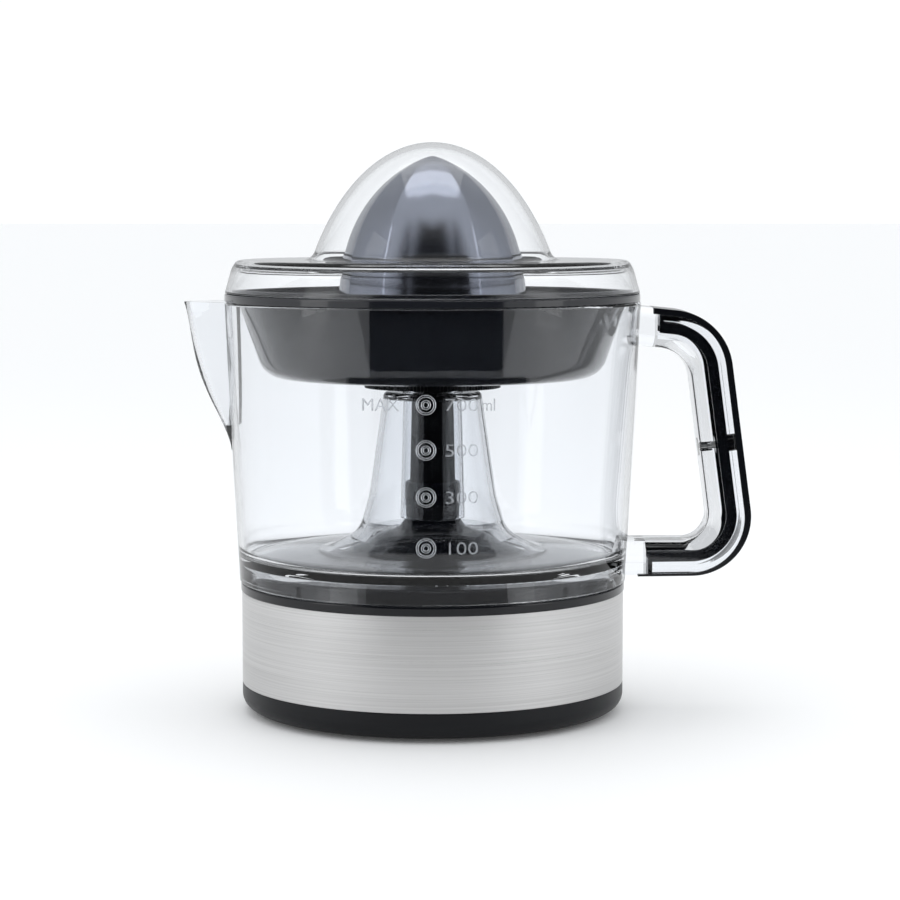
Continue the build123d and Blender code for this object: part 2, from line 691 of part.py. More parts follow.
REBATE_OUTER = ((STRIP_TOP_X, 150.0), (120.0, 150.0), (120.0, 40.0), (STRIP_END_X, 40.0))
# Screw through the finger side into the strip's boss, half way down the grip.
SCREW_POINT = (108.6, 95.0)
SCREW_SLOPE = (0.9911, 0.1333)


def handle_face(first, first_bends, second, second_bends):
    """Face in the XZ plane between an outer and an inner run of straights and bends."""
    with BuildSketch(Plane.XZ) as section:
        with BuildLine():
            FilletPolyline(*first, radius=list(first_bends))
            Line(first[-1], second[-1])
            FilletPolyline(*second, radius=list(second_bends))
            Line(second[0], first[0])
        make_face()
    return section.sketch


def strip_underside(top_x, end_x):
    """Underside of the strip's cap, run out along its end straights to two places."""
    (high_x, high_z), (low_x, low_z) = STRIP_CORNERS
    top = (top_x, high_z + (top_x - high_x) * STRIP_TOP_SLOPE)
    end = (end_x, low_z + (end_x - low_x) * STRIP_END_SLOPE)
    return (top, *STRIP_CORNERS, end)


def inset(depth, end_gap):
    """The handle's outer run moved inwards by a depth, between the pocket's two ends."""
    lines = []
    for (x0, z0), (x1, z1) in zip(HANDLE_OUTER, HANDLE_OUTER[1:]):
        length = math.dist((x0, z0), (x1, z1))
        along = ((x1 - x0) / length, (z1 - z0) / length)
        lines.append(((x0 + depth * along[1], z0 - depth * along[0]), along))
    corners = []
    for ((x0, z0), (u0, w0)), ((x1, z1), (u1, w1)) in zip(lines, lines[1:]):
        reach = ((x1 - x0) * w1 - (z1 - z0) * u1) / (u0 * w1 - w0 * u1)
        corners.append((x0 + reach * u0, z0 + reach * w0))
    ends = []
    for x, ((x0, z0), (u, w)) in ((POCKET_TOP_X, lines[0]), (POCKET_END_X, lines[-1])):
        ends.append((x + end_gap, z0 + (x + end_gap - x0) * w / u))
    return (ends[0], *corners, ends[1])


def screw_plane(depth):
    """Plane across the handle screw's axis, depth below the outer face, facing outwards."""
    x = SCREW_POINT[0] - depth * SCREW_SLOPE[0]
    z = SCREW_POINT[1] - depth * SCREW_SLOPE[1]
    return Plane(origin=(x, 0, z), x_dir=(0, 1, 0), z_dir=(SCREW_SLOPE[0], 0, SCREW_SLOPE[1]))


with BuildPart() as jug:
    # handle: a channel, open outwards
    grip = handle_face(HANDLE_OUTER, HANDLE_OUTER_BENDS, HANDLE_INNER, HANDLE_INNER_BENDS)
    extrude(grip, amount=HANDLE_HALF_W, both=True)
    finger_edges = jug.edges().filter_by(lambda e: abs(abs(e.center().Y) - HANDLE_HALF_W) < 0.01)
    outer_edges = finger_edges.filter_by(
        lambda e: e.center().X > 74 and (e.center().X > 100 or e.center().Z > 138 or e.center().Z < 50)
    )
    finger_edges = finger_edges.filter_by(
        lambda e: e.center().X > 74 and e not in outer_edges
    )
    fillet(finger_edges, 4.0)
    # pocket behind the strip, and the rebate that the strip lies in
    pocket = handle_face(POCKET_OUTER, (4, 4), POCKET_INNER, POCKET_BENDS)
    extrude(pocket, amount=HANDLE_HALF_W - 2.4, both=True, mode=Mode.SUBTRACT)
    under = strip_underside(STRIP_TOP_X, STRIP_END_X)
    rebate = handle_face(REBATE_OUTER, (4, 4), under, STRIP_BENDS)
    extrude(rebate, amount=HANDLE_HALF_W + 1, both=True, mode=Mode.SUBTRACT)
    with BuildSketch(screw_plane(25)):
        Circle(1.7)
    extrude(amount=20, mode=Mode.SUBTRACT)
    with BuildSketch(screw_plane(25)):
        Circle(3.2)
    extrude(amount=12.0, mode=Mode.SUBTRACT)
    # wall, floor and hollow column in one turned shell
    turned(
        (JUG_FOOT_R, JUG_FOOT_Z, 0.3),
        (JUG_RIM_R, JUG_RIM_Z, 0.7),
        (JUG_RIM_R - JUG_WALL, JUG_RIM_Z, 0.7),
        (jug_r(JUG_FLOOR_Z) - JUG_WALL, JUG_FLOOR_Z, 4.0),
        (38.0, 57.2, 14.0),
        (26.0, 63.5, 10.0),
        (22.4, 76.0, 20.0),
        (17.2, COLUMN_TOP_Z, 1.6),
        (10.3, COLUMN_TOP_Z, 0.6),
        (10.2, COLLAR_TOP_Z, 0.4),
        (9.1, COLLAR_TOP_Z, 0.3),
        (9.1, COLUMN_TOP_Z - 2, 0),
        (10.35, 68.0, 0.3),
        (11.4, 68.0, 0.3),
        (10.3, COLUMN_TOP_Z - 2, 0.5),
        (15.4, COLUMN_TOP_Z - 2, 1.0),
        (20.4, 75.6, 20.0),
        (24.3, 62.0, 9.0),
        (37.0, 55.2, 12.0),
        (63.8, 53.0, 0.5),
        (65.9, JUG_FOOT_Z, 0.3),
    )
    # spout: outer form added, inside and the way into it cut
    loft([spout_section(*row, 0, JUG_WALL - 0.3) for row in SPOUT_SECTIONS])
    inner_rows = (*SPOUT_SECTIONS[1:-1], (JUG_RIM_Z + 0.01, 14.2, 15.0))
    loft([spout_section(*row, SPOUT_SKIN, JUG_WALL + 2.0) for row in inner_rows], mode=Mode.SUBTRACT)
finish(jug, "jug")

with BuildPart() as handle_strip:
    # two rails that stand in the channel, beside its walls
    bends = [[bend - depth for bend in HANDLE_OUTER_BENDS] for depth in RAIL_DEPTHS]
    rail = handle_face(inset(RAIL_DEPTHS[0], 0.8), bends[0], inset(RAIL_DEPTHS[1], 0.8), bends[1])
    extrude(rail, amount=RAIL_SIDES[1], both=True)
    extrude(rail, amount=RAIL_SIDES[0], both=True, mode=Mode.SUBTRACT)
    # cap that closes the channel
    under = strip_underside(HANDLE_OUTER[0][0], HANDLE_OUTER[-1][0])
    cap = handle_face(HANDLE_OUTER, HANDLE_OUTER_BENDS, under, STRIP_BENDS)
    extrude(cap, amount=HANDLE_HALF_W, both=True)
    block(60, STRIP_TOP_X + 0.1, -20, 20, 90, 150, Mode.SUBTRACT)
    block(60, STRIP_END_X + 0.1, -20, 20, 40, 90, Mode.SUBTRACT)
    # webs that tie the rails to the cap, and the boss for the screw
    rail_side = RAIL_SIDES[1]
    block(POCKET_TOP_X + 0.8, POCKET_TOP_X + 2.3, -rail_side, rail_side, 136.0, 140.6)
    block(POCKET_END_X + 0.8, POCKET_END_X + 2.3, -rail_side, rail_side, 48.8, 54.0)
    with BuildSketch(screw_plane(RAIL_DEPTHS[1])):
        Rectangle(2 * rail_side, 1.4)
    extrude(amount=RAIL_DEPTHS[1] - 1.5)
    with BuildSketch(screw_plane(9.0)):
        Circle(3.0)
    extrude(amount=7.5)
    with BuildSketch(screw_plane(10.0)):
        Circle(1.25)
    extrude(amount=7.0, mode=Mode.SUBTRACT)
finish(handle_strip, "handle_strip")

with BuildPart() as handle_screw:
    with BuildSketch(screw_plane(15.0)):
        Circle(2.7)
    extrude(amount=1.9)
    with BuildSketch(screw_plane(13.2)):
        Circle(1.24)
    extrude(amount=9.0)
finish(handle_screw, "handle_screw")

# ---- strainer and pulp ring ------------------------------------------------------------------------

FLOOR_TOP_Z = STRAINER_FLOOR_Z + STRAINER_SKIN
HUB_TOP_Z = 130.0

with BuildPart() as strainer:
    turned(
        (RING_R, RING_LOW_Z, 0.4),
        (RING_R, RING_TOP_Z, 0.8),
        (70.3, RING_TOP_Z, 0),
        (70.3, RING_TOP_Z + 1.4, 0.4),
        (69.1, RING_TOP_Z + 1.4, 0.4),
        (69.1, RING_TOP_Z - 1.0, 0.6),
        (66.6, RING_TOP_Z - 1.0, 0.6),
        (58.6, FLOOR_TOP_Z, 7.0),
        (12.3, FLOOR_TOP_Z, 0.8),
        (12.3, HUB_TOP_Z, 0.5),
        (10.7, HUB_TOP_Z, 0.4),
        (10.7, 113.3, 0),
        (12.5, 113.3, 0.3),
        (12.5, STRAINER_FLOOR_Z, 0),
        (59.0, STRAINER_FLOOR_Z, 9.0),
        (68.1, RING_LOW_Z, 0.3),
    )
    # twelve windows over the pulp ring and a fan of fine slits outside it
    with BuildSketch(Plane.XY.offset(STRAINER_FLOOR_Z - 1)):
        with PolarLocations(18.3, 12):
            SlotOverall(8.0, 2.4)
        with PolarLocations(38.0, 48):
            SlotOverall(20.0, 1.3)
    extrude(amount=4, mode=Mode.SUBTRACT)
finish(strainer, "strainer")

with BuildPart() as pulp_ring:
    with BuildSketch(Plane.XY.offset(DIAL_LOW_Z)):
        Circle(DIAL_R)
        Circle(12.8, mode=Mode.SUBTRACT)
        with PolarLocations(18.3, 12):
            SlotOverall(8.0, 2.4, mode=Mode.SUBTRACT)
        with PolarLocations(DIAL_R + 0.1, 120):
            Rectangle(0.9, 0.55, mode=Mode.SUBTRACT)
    extrude(amount=DIAL_TOP_Z - DIAL_LOW_Z)
finish(pulp_ring, "pulp_ring")

# ---- reamer -----------------------------------------------------------------------------------------

CONE_LOW_Z = 124.2
CONE_RIBS = 6


def reamer_outline(scale, skin):
    """Upper outline of the reamer, as (radius, height) points from base to tip."""
    envelope = (
        (33.6, CONE_LOW_Z), (33.0, 140.0), (31.7, 157.8), (29.3, 166.8), (27.3, 171.8),
        (24.8, 176.1), (21.6, 180.3), (17.4, 184.5), (11.9, 188.7), (7.0, 191.7), (2.4, 194.0),
    )
    return [(r * scale - skin, z - skin) for r, z in envelope]


def turned_cap(outline, low_z, mode):
    """Turns a smooth outline from its widest point at the base to the axis."""
    top = outline[-1]
    with BuildSketch(Plane.XZ) as section:
        with BuildLine():
            Spline(*outline)
            Line(top, (0, top[1]))
            Line((0, top[1]), (0, low_z))
            Line((0, low_z), outline[0])
        make_face()
    revolve(section.sketch, axis=Axis.Z, mode=mode)


with BuildPart() as reamer_cone:
    core = reamer_outline(0.91, 0)
    turned_cap(core, CONE_LOW_Z, Mode.ADD)
    # the ribs: thin plates on the full outline
    fin = reamer_outline(1.0, 0)
    for turn in range(CONE_RIBS):
        with BuildSketch(Plane.XZ.rotated((0, 0, 60 * turn - 90))):
            with BuildLine():
                Spline(*fin)
                Line(fin[-1], (0, fin[-1][1] + 1.0))
                Line((0, fin[-1][1] + 1.0), (0, CONE_LOW_Z))
                Line((0, CONE_LOW_Z), fin[0])
            make_face()
        extrude(amount=1.1, both=True)
    hollow = [(r - 2.2, z - 2.4) for r, z in core[1:-1]]
    hollow = [(core[0][0] - 2.0, CONE_LOW_Z - 1)] + hollow
    turned_cap(hollow, CONE_LOW_Z - 1, Mode.SUBTRACT)
finish(reamer_cone, "reamer_cone")

with BuildPart() as cone_socket:
    # splined socket with a web plate that is pressed up inside the cone
    turned(
        (0, STEM_SHOULDER_Z + 0.1, 0),
        (8.4, STEM_SHOULDER_Z + 0.1, 0.4),
        (8.4, 150.0, 0),
        (27.9, 150.0, 0),
        (27.9, 152.0, 0.3),
        (0, 152.0, 0),
    )
    with BuildSketch(Plane.XY.offset(STEM_SHOULDER_Z)):
        Circle(SPLINE_R + 0.2)
        with PolarLocations(SPLINE_R + 0.1, 6):
            Rectangle(2.2, 2.0)
    extrude(amount=STEM_TOP_Z + 0.3 - STEM_SHOULDER_Z, mode=Mode.SUBTRACT)
finish(cone_socket, "cone_socket")

# ---- dust cover --------------------------------------------------------------------------------------


def dome_half(skin):
    """Half section under the dome's elliptical outline, inside it by skin."""
    centre_z = DOME_TOP_Z - DOME_SEMI_Z
    semi_r = DOME_SEMI_R - skin
    semi_z = DOME_SEMI_Z - skin
    low_z = LID_TOP_Z - LID_SKIN
    low_angle = math.degrees(math.asin((low_z - centre_z) / semi_z))
    with BuildSketch(Plane.XZ) as section:
        with BuildLine():
            arc = EllipticalCenterArc((0, centre_z), semi_r, semi_z, low_angle, arc_size=90 - low_angle)
            Line(arc @ 1, (0, low_z))
            Line((0, low_z), arc @ 0)
        make_face()
    return section.sketch


with BuildPart() as dust_cover:
    turned(
        (RING_R, RING_TOP_Z + 0.1, 0.3),
        (70.4, 156.0, 3.0),
        (68.6, LID_TOP_Z, 2.6),
        (0, LID_TOP_Z, 0),
        (0, RING_TOP_Z + 0.1, 0),
    )
    revolve(dome_half(0), axis=Axis.Z)
    turned(
        (RING_R - LID_SKIN, RING_TOP_Z, 0),
        (70.4 - LID_SKIN, 155.4, 2.0),
        (68.6 - LID_SKIN, LID_TOP_Z - LID_SKIN, 1.5),
        (0, LID_TOP_Z - LID_SKIN, 0),
        (0, RING_TOP_Z, 0),
        mode=Mode.SUBTRACT,
    )
    revolve(dome_half(LID_SKIN), axis=Axis.Z, mode=Mode.SUBTRACT)
finish(dust_cover, "dust_cover")
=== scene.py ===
import math

import bpy
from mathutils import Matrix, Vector


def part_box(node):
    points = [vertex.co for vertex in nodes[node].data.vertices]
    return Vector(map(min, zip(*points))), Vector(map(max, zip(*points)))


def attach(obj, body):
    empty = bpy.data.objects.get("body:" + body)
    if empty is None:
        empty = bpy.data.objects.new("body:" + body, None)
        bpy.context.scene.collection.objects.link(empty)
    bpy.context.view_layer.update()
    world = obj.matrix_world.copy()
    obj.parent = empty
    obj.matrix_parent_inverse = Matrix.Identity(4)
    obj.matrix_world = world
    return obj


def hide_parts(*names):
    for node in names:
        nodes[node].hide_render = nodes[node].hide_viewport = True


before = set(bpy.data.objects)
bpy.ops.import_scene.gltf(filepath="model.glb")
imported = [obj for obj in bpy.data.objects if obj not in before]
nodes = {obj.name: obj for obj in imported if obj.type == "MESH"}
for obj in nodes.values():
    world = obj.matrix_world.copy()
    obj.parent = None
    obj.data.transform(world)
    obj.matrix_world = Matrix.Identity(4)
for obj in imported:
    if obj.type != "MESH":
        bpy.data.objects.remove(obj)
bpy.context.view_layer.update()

# ---- camera, table and light ------------------------------------------------------
# A citrus press on a pale table, seen from the side of the volume marks, a little
# from above. Bright panels stand left, right and overhead, with an opening in front.

camera_data = bpy.data.cameras.new("camera")
camera_data.lens = 102.28
camera_data.sensor_width = 36.0
camera_data.clip_end = 50.0
camera = bpy.data.objects.new("camera", camera_data)
camera.location = (0.00615, -0.900, 0.17664)
camera.rotation_euler = (math.pi / 2 - 0.094, 0.0, 0.0)
bpy.context.scene.collection.objects.link(camera)
bpy.context.scene.camera = camera
bpy.context.scene.view_settings.view_transform = "Standard"


def new_material(name, colour, roughness, metallic=0.0):
    """A material with a Principled shader whose plain values are set on its own sockets."""
    material = bpy.data.materials.new(name)
    material.use_nodes = True
    shader = material.node_tree.nodes["Principled BSDF"]
    shader.inputs["Base Color"].default_value = (*colour, 1.0)
    shader.inputs["Roughness"].default_value = roughness
    shader.inputs["Metallic"].default_value = metallic
    return material, material.node_tree, shader


def add_node(tree, kind, **settings):
    """A shader node with some of its plain settings or inputs given."""
    node = tree.nodes.new(kind)
    for key, value in settings.items():
        if key in node.inputs:
            node.inputs[key].default_value = value
        else:
            setattr(node, key, value)
    return node


table_size = 60.0
table_mesh = bpy.data.meshes.new("table")
half = table_size / 2
table_mesh.from_pydata(
    [(-half, -half, 0), (half, -half, 0), (half, half, 0), (-half, half, 0)], [], [(0, 1, 2, 3)]
)
table = bpy.data.objects.new("table", table_mesh)
bpy.context.scene.collection.objects.link(table)
table_white, table_tree, table_shader = new_material("table_white", (0.93, 0.93, 0.93), 0.6)
table_grain = add_node(table_tree, "ShaderNodeTexNoise", Scale=90.0, Detail=4.0)
table_place = add_node(table_tree, "ShaderNodeTexCoord")
table_tree.links.new(table_place.outputs["Object"], table_grain.inputs["Vector"])
table_bump = add_node(table_tree, "ShaderNodeBump", Strength=0.02, Distance=0.0005)
table_tree.links.new(table_grain.outputs["Fac"], table_bump.inputs["Height"])
table_tree.links.new(table_bump.outputs["Normal"], table_shader.inputs["Normal"])
table_shader.inputs["Emission Color"].default_value = (1.0, 1.0, 1.0, 1.0)
table_shader.inputs["Emission Strength"].default_value = 0.04
table_mesh.materials.append(table_white)

# The surroundings: white, with a dim opening in front that a polished side mirrors.
world = bpy.data.worlds.new("studio")
bpy.context.scene.world = world
world.use_nodes = True
sky = world.node_tree
sky_light = sky.nodes["Background"]
sky_place = add_node(sky, "ShaderNodeTexCoord")
sky_split = add_node(sky, "ShaderNodeSeparateXYZ")
sky.links.new(sky_place.outputs["Generated"], sky_split.inputs["Vector"])
sky_turn = add_node(sky, "ShaderNodeMath", operation="ARCTAN2")
sky.links.new(sky_split.outputs["X"], sky_turn.inputs[0])
sky_back = add_node(sky, "ShaderNodeMath", operation="MULTIPLY")
sky_back.inputs[1].default_value = -1.0
sky.links.new(sky_split.outputs["Y"], sky_back.inputs[0])
sky.links.new(sky_back.outputs[0], sky_turn.inputs[1])
sky_side = add_node(sky, "ShaderNodeMath", operation="ABSOLUTE")
sky.links.new(sky_turn.outputs[0], sky_side.inputs[0])
sky_ramp = add_node(sky, "ShaderNodeMapRange", interpolation_type="SMOOTHSTEP")
sky_ramp.inputs["From Min"].default_value = math.radians(27)
sky_ramp.inputs["From Max"].default_value = math.radians(46)
sky_ramp.inputs["To Min"].default_value = 0.04
sky_ramp.inputs["To Max"].default_value = 0.95
sky.links.new(sky_side.outputs[0], sky_ramp.inputs["Value"])
sky_rear = add_node(sky, "ShaderNodeMapRange", interpolation_type="SMOOTHSTEP")
sky_rear.inputs["From Min"].default_value = math.radians(75)
sky_rear.inputs["From Max"].default_value = math.radians(112)
sky_rear.inputs["To Min"].default_value = 1.0
sky_rear.inputs["To Max"].default_value = 0.68
sky.links.new(sky_side.outputs[0], sky_rear.inputs["Value"])
sky_round = add_node(sky, "ShaderNodeMath", operation="MULTIPLY")
sky.links.new(sky_ramp.outputs["Result"], sky_round.inputs[0])
sky.links.new(sky_rear.outputs["Result"], sky_round.inputs[1])
sky_high = add_node(sky, "ShaderNodeMapRange", interpolation_type="SMOOTHSTEP")
sky_high.inputs["From Min"].default_value = 0.66
sky_high.inputs["From Max"].default_value = 0.86
sky.links.new(sky_split.outputs["Z"], sky_high.inputs["Value"])
sky_open = add_node(sky, "ShaderNodeMath", operation="MAXIMUM")
sky.links.new(sky_round.outputs[0], sky_open.inputs[0])
sky.links.new(sky_high.outputs["Result"], sky_open.inputs[1])
sky_path = add_node(sky, "ShaderNodeLightPath")
sky_seen = add_node(sky, "ShaderNodeMath", operation="MAXIMUM")
sky.links.new(sky_open.outputs[0], sky_seen.inputs[0])
sky_unmirrored = add_node(sky, "ShaderNodeMath", operation="LESS_THAN")
sky_unmirrored.inputs[1].default_value = 0.5
sky.links.new(sky_path.outputs["Glossy Depth"], sky_unmirrored.inputs[0])
sky.links.new(sky_unmirrored.outputs[0], sky_seen.inputs[1])
sky_strength = add_node(sky, "ShaderNodeMath", operation="MULTIPLY")
sky_strength.inputs[1].default_value = 1.07
sky.links.new(sky_seen.outputs[0], sky_strength.inputs[0])
sky.links.new(sky_strength.outputs[0], sky_light.inputs["Strength"])
sky_light.inputs["Color"].default_value = (0.96, 0.98, 1.0, 1.0)


def soft_panel(name, place, aim, width, height, power):
    """A rectangular studio lamp turned towards a point."""
    lamp = bpy.data.lights.new(name, "AREA")
    lamp.shape = "RECTANGLE"
    lamp.size = width
    lamp.size_y = height
    lamp.energy = power
    panel = bpy.data.objects.new(name, lamp)
    panel.location = place
    panel.rotation_euler = (Vector(aim) - Vector(place)).to_track_quat("-Z", "Y").to_euler()
    bpy.context.scene.collection.objects.link(panel)


soft_panel("left_panel", (-0.95, -0.45, 0.45), (0, 0, 0.1), 0.35, 1.0, 1.1)
soft_panel("right_panel", (0.95, -0.45, 0.45), (0, 0, 0.1), 0.35, 1.0, 0.9)
soft_panel("top_panel", (0.0, 0.1, 1.1), (0, 0, 0), 0.8, 0.5, 1.6)

# A black cloth lies far out on the table and hangs behind that, and a narrow strip of it
# hangs close before the press, where the strainer's sloping side mirrors it. They are
# there for mirrored light only: nothing sees them directly, and they throw no shadow.
cloth_near = 0.42
cloth_far = 1.3
cloth_top = 0.60
cloth_lift = 0.001  # clear of the table
strip_r = 0.118
strip_low = 0.052
strip_top = 0.114
cloth_left = math.radians(-33)
cloth_right = math.radians(38)
cloth_steps = 12
cloth_row = 5  # points at each step: three down the cloth and two down the strip
cloth_points = []
for step in range(cloth_steps + 1):
    turn = cloth_left + (cloth_right - cloth_left) * step / cloth_steps
    out = (math.sin(turn), -math.cos(turn))
    for reach, rise in (
        (cloth_near, cloth_lift), (cloth_far, cloth_lift), (cloth_far, cloth_top),
        (strip_r, strip_low), (strip_r, strip_top),
    ):
        cloth_points.append((reach * out[0], reach * out[1], rise))
cloth_faces = []
for step in range(cloth_steps):
    first = cloth_row * step
    for corner in (first, first + 1, first + 3):
        cloth_faces.append((corner, corner + 1, corner + cloth_row + 1, corner + cloth_row))
cloth_mesh = bpy.data.meshes.new("black_cloth")
cloth_mesh.from_pydata(cloth_points, [], cloth_faces)
black_cloth = bpy.data.objects.new("black_cloth", cloth_mesh)
bpy.context.scene.collection.objects.link(black_cloth)
cloth_black, cloth_tree, cloth_shader = new_material("cloth_black", (0.004, 0.004, 0.005), 0.9)
cloth_shader.inputs["Specular IOR Level"].default_value = 0.0
cloth_path = add_node(cloth_tree, "ShaderNodeLightPath")
cloth_absent = add_node(cloth_tree, "ShaderNodeMath", operation="LESS_THAN")
cloth_absent.inputs[1].default_value = 0.5
cloth_tree.links.new(cloth_path.outputs["Glossy Depth"], cloth_absent.inputs[0])
cloth_clear = add_node(cloth_tree, "ShaderNodeBsdfTransparent")
cloth_either = add_node(cloth_tree, "ShaderNodeMixShader")
cloth_tree.links.new(cloth_absent.outputs[0], cloth_either.inputs["Fac"])
cloth_tree.links.new(cloth_shader.outputs["BSDF"], cloth_either.inputs[1])
cloth_tree.links.new(cloth_clear.outputs["BSDF"], cloth_either.inputs[2])
cloth_tree.links.new(cloth_either.outputs["Shader"], cloth_tree.nodes["Material Output"].inputs["Surface"])
cloth_mesh.materials.append(cloth_black)
black_cloth.visible_camera = False
black_cloth.visible_diffuse = False
black_cloth.visible_shadow = False

# ---- moulded black base ------------------------------------------------------------
# The upper shell is gloss black ABS with the deck and the drive tower in one moulding.
# The lower shell is the same plastic with a satin finish, and the stem has a matt one.

handling = bpy.data.node_groups.new("handling_wear", "ShaderNodeTree")
for socket_name, socket_kind, first in (
    ("Size", "NodeSocketFloat", 60.0),
    ("Gloss", "NodeSocketFloat", 0.2),
    ("Spread", "NodeSocketFloat", 0.05),
    ("Relief", "NodeSocketFloat", 0.05),
):
    wear_socket = handling.interface.new_socket(name=socket_name, in_out="INPUT", socket_type=socket_kind)
    wear_socket.default_value = first
handling.interface.new_socket(name="Roughness", in_out="OUTPUT", socket_type="NodeSocketFloat")
handling.interface.new_socket(name="Normal", in_out="OUTPUT", socket_type="NodeSocketVector")
wear_in = handling.nodes.new("NodeGroupInput")
wear_out = handling.nodes.new("NodeGroupOutput")
wear_place = add_node(handling, "ShaderNodeTexCoord")
wear_cloud = add_node(handling, "ShaderNodeTexNoise", Detail=6.0, Roughness=0.65)
handling.links.new(wear_place.outputs["Object"], wear_cloud.inputs["Vector"])
handling.links.new(wear_in.outputs["Size"], wear_cloud.inputs["Scale"])
wear_centre = add_node(handling, "ShaderNodeMath", operation="SUBTRACT")
wear_centre.inputs[1].default_value = 0.5
handling.links.new(wear_cloud.outputs["Fac"], wear_centre.inputs[0])
wear_spread = add_node(handling, "ShaderNodeMath", operation="MULTIPLY_ADD")
handling.links.new(wear_centre.outputs[0], wear_spread.inputs[0])
handling.links.new(wear_in.outputs["Spread"], wear_spread.inputs[1])
handling.links.new(wear_in.outputs["Gloss"], wear_spread.inputs[2])
handling.links.new(wear_spread.outputs[0], wear_out.inputs["Roughness"])
wear_fine = add_node(handling, "ShaderNodeTexNoise", Scale=2600.0, Detail=2.0)
handling.links.new(wear_place.outputs["Object"], wear_fine.inputs["Vector"])
wear_bump = add_node(handling, "ShaderNodeBump", Distance=0.0001)
handling.links.new(wear_in.outputs["Relief"], wear_bump.inputs["Strength"])
handling.links.new(wear_fine.outputs["Fac"], wear_bump.inputs["Height"])
handling.links.new(wear_bump.outputs["Normal"], wear_out.inputs["Normal"])


def handled(tree, shader, size, gloss, spread, relief):
    """Gives a shader the uneven gloss and fine relief of a piece that is handled and wiped."""
    wear = tree.nodes.new("ShaderNodeGroup")
    wear.node_tree = handling
    wear.inputs["Size"].default_value = size
    wear.inputs["Gloss"].default_value = gloss
    wear.inputs["Spread"].default_value = spread
    wear.inputs["Relief"].default_value = relief
    tree.links.new(wear.outputs["Roughness"], shader.inputs["Roughness"])
    tree.links.new(wear.outputs["Normal"], shader.inputs["Normal"])


def finish_nodes(material, *names):
    """Puts a finished material on CAD nodes."""
    for name in names:
        data = nodes[name].data
        data.materials.clear()
        data.materials.append(material)


gloss_black, gloss_black_tree, gloss_black_shader = new_material("gloss_black", (0.004, 0.0045, 0.006), 0.16)
handled(gloss_black_tree, gloss_black_shader, 45.0, 0.15, 0.10, 0.04)
gloss_black_shader.inputs["Specular IOR Level"].default_value = 0.4
finish_nodes(gloss_black, "upper_housing", "handle_strip")

satin_black, satin_black_tree, satin_black_shader = new_material("satin_black", (0.006, 0.0065, 0.008), 0.38)
handled(satin_black_tree, satin_black_shader, 70.0, 0.34, 0.12, 0.3)
satin_black_shader.inputs["Specular IOR Level"].default_value = 0.22
finish_nodes(satin_black, "bottom_cover", "switch_body", "pulp_ring", "cone_socket")

matt_black, matt_black_tree, matt_black_shader = new_material("matt_black", (0.004, 0.004, 0.005), 0.6)
handled(matt_black_tree, matt_black_shader, 90.0, 0.58, 0.12, 0.3)
matt_black_shader.inputs["Specular IOR Level"].default_value = 0.08
finish_nodes(matt_black, "drive_stem")

# ---- foot ring and cord inlet --------------------------------------------------------
# Matt black rubber: a flat ring pressed into the groove under the bottom cover, and
# the square-seated gland in the rear wall that a cord would come through.

foot_rubber, foot_rubber_tree, foot_rubber_shader = new_material("foot_rubber", (0.02, 0.02, 0.021), 0.75)
handled(foot_rubber_tree, foot_rubber_shader, 120.0, 0.74, 0.2, 0.8)
finish_nodes(foot_rubber, "foot_ring", "cord_gland")

# ---- steel band ----------------------------------------------------------------------
# A strip of stainless sheet brushed along its length, rolled round the housing and
# butted at the rear. The brushing runs round the base, so gloss spreads up and down.

band_steel, band_tree, band_shader = new_material("band_steel", (0.66, 0.655, 0.65), 0.28, metallic=1.0)
band_place = add_node(band_tree, "ShaderNodeTexCoord")
band_stretch = add_node(band_tree, "ShaderNodeMapping")
band_stretch.inputs["Scale"].default_value = (9.0, 9.0, 3200.0)
band_tree.links.new(band_place.outputs["Object"], band_stretch.inputs["Vector"])
band_lines = add_node(band_tree, "ShaderNodeTexNoise", Scale=1.0, Detail=5.0, Roughness=0.7)
band_tree.links.new(band_stretch.outputs["Vector"], band_lines.inputs["Vector"])
band_gloss = add_node(band_tree, "ShaderNodeMapRange")
band_gloss.inputs["To Min"].default_value = 0.20
band_gloss.inputs["To Max"].default_value = 0.42
band_tree.links.new(band_lines.outputs["Fac"], band_gloss.inputs["Value"])
band_tree.links.new(band_gloss.outputs["Result"], band_shader.inputs["Roughness"])
band_tone = add_node(band_tree, "ShaderNodeValToRGB")
band_tone.color_ramp.elements[0].position = 0.25
band_tone.color_ramp.elements[0].color = (0.52, 0.515, 0.51, 1)
band_tone.color_ramp.elements[1].position = 0.75
band_tone.color_ramp.elements[1].color = (0.74, 0.735, 0.73, 1)
band_tree.links.new(band_lines.outputs["Fac"], band_tone.inputs["Fac"])
band_tree.links.new(band_tone.outputs["Color"], band_shader.inputs["Base Color"])
band_scratch = add_node(band_tree, "ShaderNodeBump", Strength=0.12, Distance=0.0001)
band_tree.links.new(band_lines.outputs["Fac"], band_scratch.inputs["Height"])
band_tree.links.new(band_scratch.outputs["Normal"], band_shader.inputs["Normal"])
band_shader.inputs["Anisotropic"].default_value = 0.55
band_round = add_node(band_tree, "ShaderNodeTangent", direction_type="RADIAL", axis="Z")
band_tree.links.new(band_round.outputs["Tangent"], band_shader.inputs["Tangent"])
finish_nodes(band_steel, "steel_band")

# ---- metal inside the base -------------------------------------------------------------
# Zinc-plated plates, screws and spring wire, ground shafts, sintered bronze bushes,
# the stacked iron core and the ferrite rotor of the geared motor.


